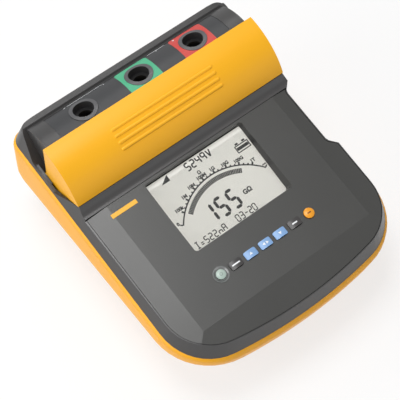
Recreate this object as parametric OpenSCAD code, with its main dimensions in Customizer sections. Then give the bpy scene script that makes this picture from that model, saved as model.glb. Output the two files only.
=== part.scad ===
// Megohmmeter: desk-top insulation tester with a wedge-shaped housing,
// a sloping display panel and a terminal barrel with a swinging safety shutter.
// X to the right, Y to the rear, Z up. Units are millimetres.

/* [Housing] */
// Half width of the tub at its widest
tub_half_w = 121; // [112:0.5:140]
// Front of the tub at the middle, measured forward of the origin
tub_front = 140; // [130:0.5:160]
// Rear of the tub, measured behind the origin
tub_rear = 141; // [138:0.5:150]
// Sagitta of the curved front edge
front_bow = 15; // [8:0.1:20]
// Plan radius of the front corners
front_corner_r = 50; // [40:0.5:58]
// Plan radius of the rear corners
rear_corner_r = 11; // [8:0.5:14]
// Height of the seam between tub and upper case above the origin
seam_z = 87.3; // [80:0.1:95]
// Slope of the seam towards the rear, degrees
seam_tilt = 8.8; // [7:0.1:10]
// Height of the lower edge of the tub's upright belt
belt_z = 54; // [40:1:62]
// How far the tub's sides draw in from the belt to the base
side_draw = 14; // [6:0.5:20]
// How far the tub's front and rear draw in from the belt to the base
end_draw = 24; // [10:0.5:30]
// Radius of the tub's bottom edge
base_r = 9; // [5:0.5:14]
// How far the belt rolls in at the seam
belt_roll = 2.4; // [1:0.1:3.5]
// Extra rounding of the tub's front corners towards its base
base_round = 9; // [0:1:20]
// Wall thickness of both mouldings
wall = 3; // [2.4:0.1:3.6]
// Inward lean of the upper case's sides per millimetre of height
side_lean = 0.29; // [0.2:0.01:0.32]
// Inward lean of the upper case's front per millimetre of height
front_lean = 0.19; // [0.1:0.01:0.26]
// Inward lean of the upper case's rear per millimetre of height
rear_lean = 0.25; // [0.15:0.01:0.3]
// Length of the finger recess in the right side
recess_len = 52; // [40:1:60]
// Depth of the finger recess in the right side
recess_deep = 7.4; // [3:0.1:9]
// Outward lean of the finger recess towards the tub, degrees
recess_lean = 16; // [12:0.5:18]
// Middle of the finger recess behind the origin
recess_y = -1; // [-10:1:10]

/* [Front panel] */
// Height of the panel's middle plane above the origin
panel_z = 104.4; // [102:0.1:107]
// Slope of the panel's middle plane, degrees
panel_tilt = 7.7; // [7:0.1:9]
// Thickness of the panel plate
panel_t = 3; // [2.4:0.1:3.4]
// Half width of the panel's flat middle
flat_half_w = 91.7; // [80:0.5:96]
// Front limit of the panel's flat middle, forward of the origin
flat_front = 107; // [100:0.5:112]
// Extra fall of the panel's margins, degrees
margin_fall = 5.9; // [3:0.1:8]
// Rear edge of the panel plate behind the origin
panel_rear = 31; // [28:0.5:33]
// Width of the rim left around the panel plate
rim_w = 1.2; // [0.8:0.1:2]
// Gap around the panel plate
panel_gap = 0.4; // [0.2:0.1:0.8]
// Width of the ledge that carries the panel plate
ledge_w = 7; // [5:0.5:9]

/* [Display] */
// Half width of the window opening at the panel
window_half_w = 54.8; // [48:0.2:58]
// Front edge of the window opening, forward of the origin
window_front = 49; // [46:0.5:52]
// Rear edge of the window opening behind the origin
window_rear = 28.6; // [24:0.2:29]
// Depth of the window under the panel at its rear edge
window_deep = 6; // [5:0.2:8]
// Extra slope of the window against the panel, degrees
window_tilt = 3.5; // [2:0.1:5]
// Inward draft of the recess at its sides and front
window_draft = 3.9; // [2:0.1:5]
// Thickness of the recess walls under the panel
collar_t = 2; // [1.6:0.1:3]
// Thickness of the clear window
glass_t = 1.5; // [1:0.1:2.5]
// Thickness of the liquid crystal panel
lcd_t = 2.8; // [2:0.1:4]
// Thickness of the backlight frame
backlight_t = 5; // [3:0.1:7]

/* [Keys] */
// Spacing of the keys
key_pitch = 16.2; // [15.6:0.1:17.5]
// Distance of the key row forward of the origin
key_row = 75.6; // [72:0.2:82]
// Width of a rectangular key
key_w = 12.4; // [10:0.1:13]
// Length of a rectangular key
key_l = 7.6; // [6:0.1:9]
// Corner radius of a rectangular key
key_corner = 1.4; // [1:0.1:3]
// Height of the keys above the panel
key_proud = 1.6; // [1:0.1:2.5]
// Diameter of the power button
power_d = 9.1; // [8:0.1:10]
// Diameter of the test button
test_d = 9.8; // [8:0.1:11]
// Diameter of the dish around the power button
dish_d = 15; // [13.4:0.1:15.6]
// Travel of each key
key_travel = 1; // [0.6:0.1:1.4]
// Gap around each key
key_gap = 0.25; // [0.2:0.05:0.4]

/* [Shutter and barrel] */
// Axis of the barrel and shutter behind the origin
axis_y = 91.5; // [88:0.5:94]
// Axis of the barrel and shutter above the origin
axis_z = 92.5; // [90:0.5:95]
// Radius of the terminal barrel
barrel_r = 50.2; // [49:0.1:50.8]
// Distance from the tub's side to the barrel's end
barrel_inset = 12.9; // [12.6:0.1:20]
// Gap between barrel and shutter, and beside the cheeks
shutter_gap = 0.9; // [0.6:0.1:1]
// Thickness of the shutter's shell
shutter_t = 3.8; // [2.5:0.1:4.2]
// Thickness of the shutter's cheeks
cheek_t = 4.6; // [3.6:0.1:4.8]
// Angle of the shutter's front edge ahead of upright
shutter_front = 65.1; // [60:0.1:66]
// Angle of the shutter's rear edge ahead of upright
shutter_back = 1.3; // [0:0.1:5]
// Angle the shutter swings back
shutter_swing = 42; // [36:0.5:42.5]
// Thickness of the skin beside the cheek slots
skin_t = 2.4; // [2:0.1:2.8]
// Number of thumb ribs
rib_count = 4; // [2:1:5]
// Half length of the thumb ribs
rib_half = 53.5; // [30:0.5:80]
// Angle between thumb ribs
rib_step = 6.6; // [5:0.1:8]
// Angle of the first thumb rib ahead of upright
rib_first = 21; // [15:0.5:25]
// Height of the thumb ribs
rib_h = 1; // [0.6:0.1:1.4]
// Diameter of the pivot pins
pin_d = 8; // [6:0.5:9]
// Radial clearance of the pivot pins
pin_fit = 0.05; // [0.02:0.01:0.08]
// Bare length of the barrel beside the terminal plate
plate_inset = 16.1; // [12:0.1:24]
// Thickness of the terminal plate
plate_t = 1.4; // [1:0.1:1.8]

/* [Sockets] */
// Spacing of the test sockets
socket_pitch = 59.9; // [50:0.1:62]
// Angle of the socket axes behind upright
socket_lean = 17.3; // [15:0.1:19]
// Diameter of the socket's visible ring
ring_d = 26.5; // [24:0.1:28]
// Diameter of the socket's mouth
mouth_d = 17.8; // [15:0.1:19]
// Depth of the socket's mouth
mouth_deep = 8; // [5:0.5:10]
// Diameter of the shroud bore behind the mouth
shroud_d = 13; // [11:0.1:14]
// Depth of the shroud bore under the barrel's surface
shroud_deep = 32; // [26:0.5:34]
// Outer diameter of the socket's body
body_d = 21.4; // [20:0.1:22.5]
// Bore of the contact tube
contact_bore = 4; // [4:0.1:4.2]
// Outer diameter of the contact tube
contact_d = 6.2; // [5.6:0.1:7]
// Depth of the contact tube's mouth
contact_deep = 12; // [10:0.5:16]

/* [Inside] */
// Width of the battery
battery_l = 61; // [50:1:66]
// Height of the battery
battery_h = 34; // [30:1:38]
// Middle of the battery forward of the origin
battery_y = 45; // [40:1:50]
// Thickness of the circuit boards
board_t = 1.6; // [1.2:0.1:2]
// Depth of the main board under the panel
board_deep = 26; // [25:0.5:30]
// Width of the high-voltage module
hv_l = 66; // [60:1:70]
// Height of the high-voltage module
hv_h = 42; // [36:1:46]
// Diameter of the case screws
screw_d = 4; // [3:0.1:4.5]
// Diameter of the feet
foot_d = 18; // [14:0.5:22]
// Height of the feet under the tub
foot_h = 1.5; // [1:0.1:3]

/* [Hidden] */
slack = 0.3;
eps = 0.01;
big = 400;
seam_slope = tan(seam_tilt);
panel_slope = tan(panel_tilt);
stretch = 1 / cos(seam_tilt);
skin_half = tub_half_w - belt_roll;
skin_front = tub_front - belt_roll;
skin_rear = tub_rear - belt_roll - 0.2;
barrel_half = tub_half_w - barrel_inset;
plate_half = barrel_half - plate_inset;
cheek_gap = 0.4;
shutter_in = barrel_r + shutter_gap;
shutter_out = shutter_in + shutter_t;
cheek_in = barrel_half + cheek_gap;
shutter_half = cheek_in + cheek_t;
slot_out = shutter_half + cheek_gap;
slot_front = shutter_front + 0.5;
slot_back = shutter_swing - shutter_back + 2.9;
hub_r = pin_d / 2 + 3;
hub_sink = 0.2;
ridge_r = shutter_out - 0.2;
glass_top = -window_deep;
floor_z = foot_h + wall;
key_x = [for (i = [-3:3]) i * key_pitch];
socket_x = [-socket_pitch, 0, socket_pitch];
screw_xy = [[tub_half_w / 2, 50 - tub_front], [tub_half_w - 27, tub_rear - 22]];
post_x = tub_half_w - 35;
post_xy = [[post_x, 17], [post_x, -62]];
foot_x = tub_half_w - 50;
foot_ys = [65 - tub_front, tub_rear - 49];
battery_w = 2 * (tub_half_w - 32);
supply_w = 28;
supply_gap = 4;
supply_x = tub_half_w - side_draw - wall - supply_gap / 2 - supply_w;
hv_w = 2 * (supply_x - supply_gap);
inlet_x = -62;
port_x = 48;
port_lean = -44;
round_n = 96;
$fn = 64;

// Plan outline: bowed front, rounded corners, straight rear.
function arc_points(cx, cy, r, a0, a1, n) =
    [for (i = [0:n]) let (a = a0 + (a1 - a0) * i / n) [cx + r * cos(a), cy + r * sin(a)]];
function half_outline(hw, yf, yr, rf, rr) =
    let (rb = (hw * hw + front_bow * front_bow) / (2 * front_bow),
         cy = rb - yf,
         fy = cy - sqrt((rb - rf) * (rb - rf) - (hw - rf) * (hw - rf)),
         ft = atan2(fy - cy, hw - rf))
    concat(arc_points(0, cy, rb, -90, ft, 8), arc_points(hw - rf, fy, rf, ft, 0, 10),
           arc_points(hw - rr, yr - rr, rr, 0, 90, 6));
function whole_outline(hw, yf, yr, rf, rr, s) =
    let (h = half_outline(hw, yf, yr, rf, rr), n = len(h))
    concat([for (p = h) [p[0], p[1] * s]], [for (i = [n - 1:-1:1]) [-h[i][0], h[i][1] * s]]);

module outline(hw, yf, yr, rf, rr, s = 1) {
    polygon(whole_outline(hw, yf, yr, rf, rr, s));
}

// Level of the seam at a plan position.
function seam_at(y) = seam_z + y * seam_slope;

// Thin slab parallel to the seam, lifted by h and drawn in by the given amounts.
module seam_slab(h, in_side, in_front, in_rear) {
    translate([0, 0, seam_z + h])
        rotate([seam_tilt, 0, 0])
            linear_extrude(eps)
                outline(skin_half - in_side, skin_front - in_front, skin_rear - in_rear,
                        front_corner_r - in_side, rear_corner_r - min(in_rear, 4), stretch);
}

module level_slab(z, in_side, in_end, in_corner) {
    translate([0, 0, z])
        linear_extrude(eps)
            outline(tub_half_w - in_side, tub_front - in_end, tub_rear - in_end,
                    front_corner_r - in_corner, rear_corner_r);
}

module above_seam(h = 0) {
    translate([0, 0, seam_z + h])
        rotate([seam_tilt, 0, 0])
            translate([-big / 2, -big / 2, 0])
                cube([big, big, big / 2]);
}

module below_seam(h = 0) {
    translate([0, 0, seam_z + h])
        rotate([seam_tilt, 0, 0])
            translate([-big / 2, -big / 2, -big / 2])
                cube([big, big, big / 2]);
}

// Extrude a (y, z) profile along X between two positions.
module across(x0, x1) {
    translate([x0, 0, 0])
        rotate([90, 0, 90])
            linear_extrude(x1 - x0)
                children();
}

module both_sides() {
    children();
    mirror([1, 0, 0])
        children();
}

// Frame of the barrel: Z radial at the given angle behind upright.
module on_barrel(x, lean) {
    translate([x, axis_y, axis_z])
        rotate([-lean, 0, 0])
            children();
}

// Frame of the panel: Z along the panel's normal at a plan position.
module on_panel(x, y) {
    translate([x, y, panel_z + y * panel_slope])
        rotate([panel_tilt, 0, 0])
            children();
}

module round_rect(w, l, r) {
    square([w - 2 * r, l], center = true);
    square([w, l - 2 * r], center = true);
    for (sx = [-1, 1], sy = [-1, 1])
        translate([sx * (w / 2 - r), sy * (l / 2 - r)])
            circle(r);
}

// Everything above the panel's top faces, for y in front of the ramp.
module above_roof(drop = 0) {
    on_panel(0, 0)
        translate([-big / 2, -big / 2, -drop])
            cube([big, big, big / 2]);
    both_sides()
        on_panel(flat_half_w, 0)
            translate([0, 0, -drop])
                rotate([0, margin_fall, 0])
                    translate([-big / 4, -big / 2, 0])
                        cube([big / 2, big, big / 4]);
    on_panel(0, -flat_front)
        translate([0, 0, -drop])
            rotate([margin_fall, 0, 0])
                translate([-big / 2, -big / 2, 0])
                    cube([big, big, big / 4]);
}

// Plan shape of the finger recess at the panel, grown by a margin.
module recess_plan(grow) {
    mouth = recess_len / 2 + grow;
    polygon([[-grow, -mouth], [-grow, mouth], [1 - grow, mouth + 3],
             [recess_deep + 20, mouth + 22 + recess_deep],
             [recess_deep + 20, -mouth - 22 - recess_deep], [1 - grow, -mouth - 3]]);
}

// Half width of the band's upper edge at the panel.
edge_rise = panel_z - seam_z - 2;
edge_half = skin_half - side_lean * edge_rise;
edge_front = skin_front - front_lean * edge_rise;
edge_corner = front_corner_r - side_lean * edge_rise;
recess_x = edge_half - recess_deep;

recess_drop = (recess_x - flat_half_w) * tan(margin_fall);
recess_rake = 17;
recess_top = 12;

// Finger recess: two leaning cuts that share their mouth and spread towards the tub.
module finger_recess(grow = 0) {
    for (s = [-1, 1])
        on_panel(recess_x, recess_y)
            translate([0, 0, -recess_drop])
                rotate([s * recess_rake, -recess_lean, 0])
                    translate([0, 0, -seam_z])
                        linear_extrude(seam_z + recess_top)
                            recess_plan(grow);
}

module panel_plan(inset) {
    difference() {
        intersection() {
            outline(edge_half - inset, edge_front - inset, skin_rear, edge_corner - inset, rear_corner_r);
            translate([-big / 2, -big])
                square([big, big + panel_rear - inset + rim_w]);
        }
        translate([recess_x, recess_y])
            recess_plan(inset);
    }
}

module tub_outer() {
    intersection() {
        hull() {
            level_slab(foot_h, side_draw + base_r * 0.8, end_draw + base_r * 0.8, -base_round);
            for (a = [20:20:80])
                level_slab(foot_h + base_r * (1 - cos(a)), side_draw + base_r * 0.8 * (1 - sin(a)),
                           end_draw + base_r * 0.8 * (1 - sin(a)), -base_round);
            level_slab(belt_z - 6, 1.6, 2.4, -base_round);
            level_slab(belt_z + 6, 0, 0, -base_round / 2);
            level_slab(seam_z + 60, 0, 0, 0);
        }
        hull() {
            seam_slab(0, 0, 0, 0);
            seam_slab(-1.5, -belt_roll * 0.62, -belt_roll * 0.62, -belt_roll * 0.62);
            seam_slab(-5, -belt_roll, -belt_roll, -belt_roll);
            seam_slab(-seam_z - 60, -belt_roll, -belt_roll - 20, -belt_roll - 20);
        }
    }
}

module tub_inner() {
    hull() {
        level_slab(floor_z, side_draw + wall + base_r * 0.5, end_draw + wall + base_r * 0.5, -base_round);
        level_slab(floor_z + base_r, side_draw + wall - 1, end_draw + wall - 2, -base_round);
        level_slab(belt_z, wall, wall + 1, -base_round);
        level_slab(seam_z + 60, wall + belt_roll, wall + belt_roll, wall);
    }
}

module screw_tower(p) {
    translate([p[0], p[1], foot_h + eps])
        cylinder(d = screw_d + 9, h = seam_z + 30);
}

module lower_case() {
    color("gold")
        difference() {
            union() {
                difference() {
                    tub_outer();
                    tub_inner();
                }
                intersection() {
                    tub_outer();
                    union() {
                        finger_recess(wall);
                        both_sides()
                            for (p = screw_xy)
                                screw_tower(p);
                        battery_tray();
                        supply_posts();
                    }
                }
            }
            above_seam();
            finger_recess();
            both_sides()
                for (p = screw_xy)
                    translate([p[0], p[1], 0]) {
                        cylinder(d = screw_d + 0.4, h = big);
                        cylinder(d = screw_d + 4.6, h = seam_at(p[1]) - 8);
                    }
            feet_places()
                cylinder(d = foot_d + 0.4, h = foot_h + 1.5);
            clamp_places()
                translate([0, 0, floor_z - 1])
                    cylinder(d = 3, h = 8);
        }
}

module battery_tray() {
    both_sides()
        translate([battery_w / 2 + slack, -battery_y - battery_l / 4, foot_h + 1])
            cube([2.5, battery_l / 2, 12]);
    for (s = [-1, 1], sx = [-1, 1])
        translate([sx * battery_w / 4 - 12, -battery_y + s * (battery_l / 2 + slack + 1.25) - 1.25, foot_h + 1])
            cube([24, 2.5, 12]);
    clamp_places()
        translate([0, 0, floor_z - 1])
            cylinder(d = 8, h = 5);
}

module clamp_places() {
    for (s = [-1, 1])
        translate([0, -battery_y + s * (battery_l / 2 + 11), 0])
            children();
}

module feet_places() {
    both_sides()
        for (y = foot_ys)
            translate([foot_x, y, 0])
                children();
}

module rubber_feet() {
    color("dimgray")
        feet_places()
            rotate_extrude()
                polygon([[0, 0], [foot_d / 2 - 1, 0], [foot_d / 2, 1], [foot_d / 2, foot_h + 1.5],
                         [0, foot_h + 1.5]]);
}

// Side of the upper case: a leaning prism above the seam, or its hollow.
module upper_prism(inset = 0, base = 0) {
    top = 60;
    hull() {
        seam_slab(base, inset, inset, inset);
        seam_slab(top, inset + side_lean * top, inset + front_lean * top, inset + rear_lean * top);
    }
}

function on_circle(r, a) = [axis_y + r * sin(a), axis_z + r * cos(a)];

// Rear profile in (y, z): ramp, ridge, slot flanks and rim.
ridge = on_circle(ridge_r, -slot_front);
rim_in = on_circle(barrel_r + 1.7, slot_back);
rim_z = rim_in[1];
ramp_foot_z = panel_z + panel_rear * panel_slope;
ramp_steps = 10;
ramp = [for (i = [0:ramp_steps]) let (t = i / ramp_steps)
        [panel_rear + (ridge[0] - panel_rear - 0.6) * t,
         ramp_foot_z + (ridge[1] - ramp_foot_z) * pow(t, 2.2)]];

module rear_profile() {
    polygon(concat([[panel_rear, seam_z - 60]], ramp, [ridge, [axis_y, axis_z], rim_in,
            [tub_rear + 10, rim_z + 0.2], [tub_rear + 10, seam_z - 60]]));
}

// Upper edge of the thin skin beside the slot, from its low point to the rear corner.
notch_y = axis_y - 6.5;
notch_lip = 1.6;
corner_rise = 12.2;
edge_steps = 6;
skin_edge = [for (i = [0:edge_steps]) let (t = i / edge_steps, y = notch_y + (tub_rear - 8 - notch_y) * t)
             [y, seam_at(y) + notch_lip + corner_rise * pow(t, 1.8)]];

module skin_profile() {
    polygon(concat([[panel_rear, seam_z - 60], [panel_rear, seam_at(panel_rear) + notch_lip]], skin_edge,
                   [[tub_rear + 10, skin_edge[edge_steps][1]], [tub_rear + 10, seam_z - 60]]));
}

// Wedge between a radial edge and the line from it to just inside the hub.
module hub_wedge(r, h, front) {
    polygon([[axis_y, axis_z], on_circle(r, -front), on_circle(h - hub_sink, -front - acos(h / r))]);
}

module slot_shape(grow) {
    polygon([[axis_y, axis_z], on_circle(120, -slot_front), on_circle(160, -slot_front / 3),
             on_circle(120, slot_back)]);
    hub_wedge(shutter_in + 1, hub_r + grow, slot_front);
    translate([axis_y, axis_z])
        circle(hub_r + grow);
}

module cheek_slot(grow) {
    across(barrel_half, slot_out)
        slot_shape(grow);
    intersection() {
        across(barrel_half, tub_half_w)
            slot_shape(grow);
        upper_prism(skin_t, notch_lip);
    }
}

module upper_outer() {
    difference() {
        intersection() {
            upper_prism();
            translate([-big / 2, -big, 0])
                cube([big, big + panel_rear + eps, big]);
        }
        above_roof();
    }
    intersection() {
        upper_prism();
        union() {
            across(-big / 2, big / 2)
                rear_profile();
            both_sides()
                across(barrel_half, tub_half_w + 10)
                    skin_profile();
        }
    }
    intersection() {
        across(-barrel_half, barrel_half)
            translate([axis_y, axis_z])
                circle(barrel_r, $fn = round_n);
        above_seam();
        upper_barrel_limit();
    }
}

// The barrel stays ahead of the rim.
module upper_barrel_limit() {
    across(-barrel_half, barrel_half)
        polygon([[panel_rear + 6, seam_z - 60], [panel_rear + 6, big], [rim_in[0] + 2, big],
                 [rim_in[0] + 2, seam_z - 60]]);
}

module upper_hollow() {
    intersection() {
        upper_prism(wall, -1);
        union() {
            difference() {
                translate([-big / 2, -big, 0])
                    cube([big, big + panel_rear + 4, big]);
                above_roof(panel_t + 5);
            }
            across(4 - barrel_half, barrel_half - 4)
                translate([axis_y, axis_z])
                    circle(barrel_r - wall, $fn = round_n);
            below_seam(2);
        }
    }
}

// Pockets under the seam that close the slots around the shutter's pivots.
module pivot_ears() {
    both_sides()
        intersection() {
            across(barrel_half - 5, slot_out + 1.6)
                union() {
                    translate([axis_y, axis_z])
                        circle(hub_r + 3);
                    translate([axis_y - hub_r - 3, axis_z])
                        square([2 * hub_r + 11, 22]);
                    hub_wedge(shutter_in + 1, hub_r + 3, slot_front + 3);
                }
            union() {
                below_seam(3);
                across(0, barrel_half)
                    translate([axis_y, axis_z])
                        circle(barrel_r - 1);
            }
        }
}

module socket_places() {
    for (x = socket_x)
        on_barrel(x, socket_lean)
            children();
}

module upper_posts() {
    intersection() {
        both_sides()
            for (p = screw_xy)
                translate([p[0], p[1], 0])
                    cylinder(d = screw_d + 6, h = big);
        above_seam();
        upper_keep();
    }
}

// Region under the outer faces, where posts may fill the hollow.
module upper_keep() {
    difference() {
        intersection() {
            upper_prism(1);
            translate([-big / 2, -big, 0])
                cube([big, big + panel_rear, big]);
        }
        above_roof(panel_t + 1);
    }
    across(-barrel_half, barrel_half)
        translate([axis_y, axis_z])
            circle(barrel_r - 1);
}

module upper_case() {
    color("dimgray")
        difference() {
            union() {
                difference() {
                    upper_outer();
                    upper_hollow();
                }
                upper_posts();
                pivot_ears();
                socket_places()
                    translate([0, 0, barrel_r - 8])
                        cylinder(d = ring_d + 6, h = 6.5);
                port_pads();
                difference() {
                    intersection() {
                        upper_prism();
                        finger_recess(wall);
                    }
                    above_roof();
                }
            }
            translate([0, 0, panel_z - 60])
                linear_extrude(120)
                    panel_plan(rim_w + ledge_w);
            panel_pocket();
            window_notch();
            finger_recess();
            both_sides()
                cheek_slot(0.6);
            both_sides()
                across(barrel_half - 12, slot_out)
                    translate([axis_y, axis_z])
                        circle(pin_d / 2);
            both_sides()
                for (p = screw_xy)
                    translate([p[0], p[1], seam_at(p[1]) - 10])
                        cylinder(d = screw_d, h = 22);
            socket_places() {
                cylinder(d = body_d + 0.2, h = big / 4);
                translate([0, 0, barrel_r - plate_t - 1])
                    cylinder(d = ring_d + 0.4, h = 10);
            }
            plate_solid(0.2, 6);
            port_cuts();
            rim_corners();
        }
}

// The rear rim falls away towards both corners.
rim_fall = 13;

module rim_corners() {
    both_sides()
        translate([tub_half_w - 25, rim_in[0], rim_z + 0.2])
            rotate([0, rim_fall, 0])
                cube([60, 40, 40]);
}

// Room for the window's rear edge under the foot of the ramp.
module window_notch() {
    half = window_half_w + collar_t + 1;
    difference() {
        translate([-half, panel_rear - 16, panel_z - 40])
            cube([2 * half, 19, 60]);
        above_roof(panel_t - eps);
    }
}

module panel_pocket() {
    difference() {
        translate([0, 0, panel_z - 60])
            linear_extrude(120)
                panel_plan(rim_w);
        under_roof(panel_t);
    }
}

// Everything below the panel's top faces less a depth.
module under_roof(drop) {
    difference() {
        translate([-big / 2, -big / 2, -big / 4])
            cube([big, big, big]);
        above_roof(drop);
    }
}

// Recess of the window, grown outwards for the collar.
module window_cone(grow, reach) {
    mid_y = (window_rear - window_front) / 2;
    top_l = window_rear + window_front;
    hull() {
        on_panel(0, mid_y)
            translate([0, 0, reach])
                linear_extrude(eps)
                    round_rect(2 * window_half_w + 2 * grow, top_l + 2 * grow, 3 + grow);
        on_panel(0, mid_y)
            translate([0, window_draft / 2, -10])
                linear_extrude(eps)
                    round_rect(2 * (window_half_w - window_draft) + 2 * grow,
                               top_l - window_draft + 2 * grow, 3 + grow);
    }
}

// Frame of the display: Z along the window's normal, origin at its rear edge.
module on_window() {
    on_panel(0, window_rear)
        translate([0, 0, glass_top])
            rotate([window_tilt, 0, 0])
                children();
}

module under_window(drop) {
    on_window()
        translate([-big / 2, -big / 2, -big / 2 - drop])
            cube([big, big, big / 2]);
}

module key_holes(grow, depth, lift) {
    for (i = [1:5])
        on_panel(key_x[i], -key_row)
            translate([0, 0, lift])
                linear_extrude(depth)
                    round_rect(key_w + 2 * grow, key_l + 2 * grow, key_corner + grow);
}

module front_panel() {
    posts = board_deep - panel_t;
    color("slategray")
        difference() {
            union() {
                difference() {
                    translate([0, 0, panel_z - 60])
                        linear_extrude(120)
                            panel_plan(rim_w + panel_gap);
                    above_roof();
                    under_plate();
                }
                difference() {
                    window_cone(collar_t, -0.5);
                    under_window(0);
                }
                both_sides()
                    for (p = post_xy)
                        on_panel(p[0], p[1])
                            translate([0, 0, -board_deep])
                                cylinder(d = 7, h = posts + 1);
                key_posts()
                    translate([0, 0, -keyboard_top])
                        cylinder(d = 5, h = keyboard_top - panel_t + 1);
            }
            window_cone(0, 4);
            key_holes(key_gap, 20, -10);
            on_panel(key_x[0], -key_row)
                translate([0, 0, -10]) {
                    cylinder(d = power_d + 2.4, h = 20);
                    translate([0, 0, 9.2])
                        cylinder(d = dish_d + 0.2, h = 10);
                }
            on_panel(key_x[6], -key_row)
                translate([0, 0, -10])
                    cylinder(d = test_d + 2 * key_gap, h = 20);
            both_sides()
                for (p = post_xy)
                    on_panel(p[0], p[1])
                        translate([0, 0, -board_deep - 1])
                            cylinder(d = 2.6, h = 12);
            key_posts()
                translate([0, 0, -keyboard_top - 1])
                    cylinder(d = 2.2, h = 5);
        }
}

// Underside of the panel plate.
module under_plate() {
    difference() {
        translate([-big / 2, -big / 2, -big / 4])
            cube([big, big, big]);
        above_roof(panel_t);
    }
}

// Levels under the panel's top face, along its normal.
flange_top = panel_t + slack;
flange_t = 1;
dome_top = flange_top + flange_t + key_travel + slack;
mat_top = dome_top + 1;
mat_t = 1;
keyboard_top = mat_top + mat_t;

module key_posts() {
    for (sx = [-1, 1], sy = [-1, 1])
        on_panel(sx * (3 * key_pitch + 14), -key_row + sy * 9)
            children();
}

module key_crown(w) {
    translate([0, 30, key_proud - 3 * w])
        rotate([90, 0, 0])
            cylinder(r = 3 * w, h = 60, $fn = round_n);
}

module bar_key(i) {
    on_panel(key_x[i], -key_row) {
        intersection() {
            translate([0, 0, -flange_top - flange_t / 2])
                linear_extrude(flange_top + flange_t / 2 + key_proud)
                    round_rect(key_w, key_l, key_corner);
            key_crown(key_w / 2);
        }
        translate([0, 0, -flange_top - flange_t])
            linear_extrude(flange_t)
                round_rect(key_w + 2, key_l + 2, key_corner);
    }
}

module round_key(i, d, proud) {
    on_panel(key_x[i], -key_row) {
        intersection() {
            translate([0, 0, -flange_top - flange_t / 2])
                cylinder(d = d, h = flange_top + flange_t / 2 + proud);
            translate([0, 0, proud - 1.2 * d])
                sphere(r = 1.2 * d, $fn = round_n);
        }
        translate([0, 0, -flange_top - flange_t])
            cylinder(d = d + 3.4, h = flange_t);
    }
}

module function_key() {
    color("darkslategray")
        bar_key(1);
}

module up_key() {
    color("cornflowerblue")
        bar_key(2);
}

module left_right_key() {
    color("cornflowerblue")
        bar_key(3);
}

module down_key() {
    color("cornflowerblue")
        bar_key(4);
}

module enter_key() {
    color("darkslategray")
        bar_key(5);
}

module test_button() {
    color("orange")
        round_key(6, test_d, key_proud + 0.8);
}

module power_button() {
    color("lightgray")
        round_key(0, power_d, key_proud);
}

// Polished dish pressed into the panel around the power button.
module power_ring() {
    color("silver")
        on_panel(key_x[0], -key_row)
            rotate_extrude()
                polygon([[power_d / 2 + key_gap, -panel_t], [power_d / 2 + 1.1, -panel_t],
                         [power_d / 2 + 1.1, -0.8], [dish_d / 2, -0.8], [dish_d / 2, 0.5],
                         [dish_d / 2 - 0.7, 0.5], [power_d / 2 + 0.9, -0.4],
                         [power_d / 2 + key_gap, -0.4]]);
}

module keypad_mat() {
    color("gray") {
        on_panel(0, -key_row)
            translate([0, 0, -mat_top - mat_t])
                linear_extrude(mat_t)
                    round_rect(6 * key_pitch + 16, 14, 3);
        for (x = key_x)
            on_panel(x, -key_row)
                translate([0, 0, -mat_top - mat_t / 2])
                    cylinder(d1 = 8, d2 = 5, h = mat_top - dome_top + mat_t / 2);
    }
}

module key_board() {
    color("darkgreen")
        difference() {
            on_panel(0, -key_row)
                translate([0, 0, -keyboard_top - board_t])
                    linear_extrude(board_t)
                        round_rect(6 * key_pitch + 40, 26, 2);
            key_posts()
                translate([0, 0, -keyboard_top - board_t - 1])
                    cylinder(d = 2.4, h = board_t + 2);
        }
}

module window_plate(half_w, l, t, drop) {
    on_window()
        translate([0, -l / 2 + 1.5, -drop - t])
            linear_extrude(t)
                square([2 * half_w, l], center = true);
}

plate_l = window_rear + window_front + 1;

module display_window() {
    color("lightblue", 0.4)
        window_plate(window_half_w, plate_l, glass_t, 0);
}

module display_module() {
    color("gainsboro")
        window_plate(window_half_w - 0.5, plate_l - 1, lcd_t, glass_t);
}

module backlight_frame() {
    stand = board_deep - window_deep - glass_t - lcd_t - backlight_t;
    color("white") {
        window_plate(window_half_w - 0.5, plate_l - 1, backlight_t, glass_t + lcd_t);
        intersection() {
            for (sx = [-1, 1], y = [window_rear - 6, -window_front + 9])
                on_panel(sx * (window_half_w - 6), y)
                    translate([0, 0, -board_deep])
                        cylinder(d = 5, h = stand + 3);
            under_window(glass_t + lcd_t + 1);
        }
    }
}

module main_board() {
    l = 100;
    color("darkgreen")
        difference() {
            on_panel(0, 0)
                translate([0, -19, -board_deep - board_t])
                    linear_extrude(board_t)
                        round_rect(2 * post_xy[0][0] + 14, l, 3);
            both_sides()
                for (p = post_xy)
                    on_panel(p[0], p[1])
                        translate([0, 0, -board_deep - board_t - 1])
                            cylinder(d = 2.8, h = board_t + 2);
        }
}

// Relays, converter and capacitors under the main board.
module board_parts() {
    color("black")
        on_panel(0, 0)
            translate([0, 0, -board_deep - board_t]) {
                for (x = [-60, -40, -20])
                    translate([x - 7, 2, -11])
                        cube([14, 22, 11]);
                translate([24, -4, -3])
                    cube([20, 20, 3]);
                for (x = [10, 60, 74])
                    translate([x, -46, -14])
                        cylinder(d = 10, h = 14);
            }
}

module buzzer() {
    color("black")
        on_panel(66, 8)
            translate([0, 0, -board_deep - board_t - 6])
                cylinder(d = 16, h = 6);
}

module board_screws() {
    color("silver") {
        both_sides()
            for (p = post_xy)
                on_panel(p[0], p[1])
                    translate([0, 0, -board_deep - board_t - 2]) {
                        cylinder(d = 5.5, h = 2);
                        cylinder(d = 2.6, h = 11);
                    }
        key_posts()
            translate([0, 0, -keyboard_top - board_t - 1.4]) {
                cylinder(d = 4, h = 1.4);
                cylinder(d = 2.2, h = 5);
            }
    }
}

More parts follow.
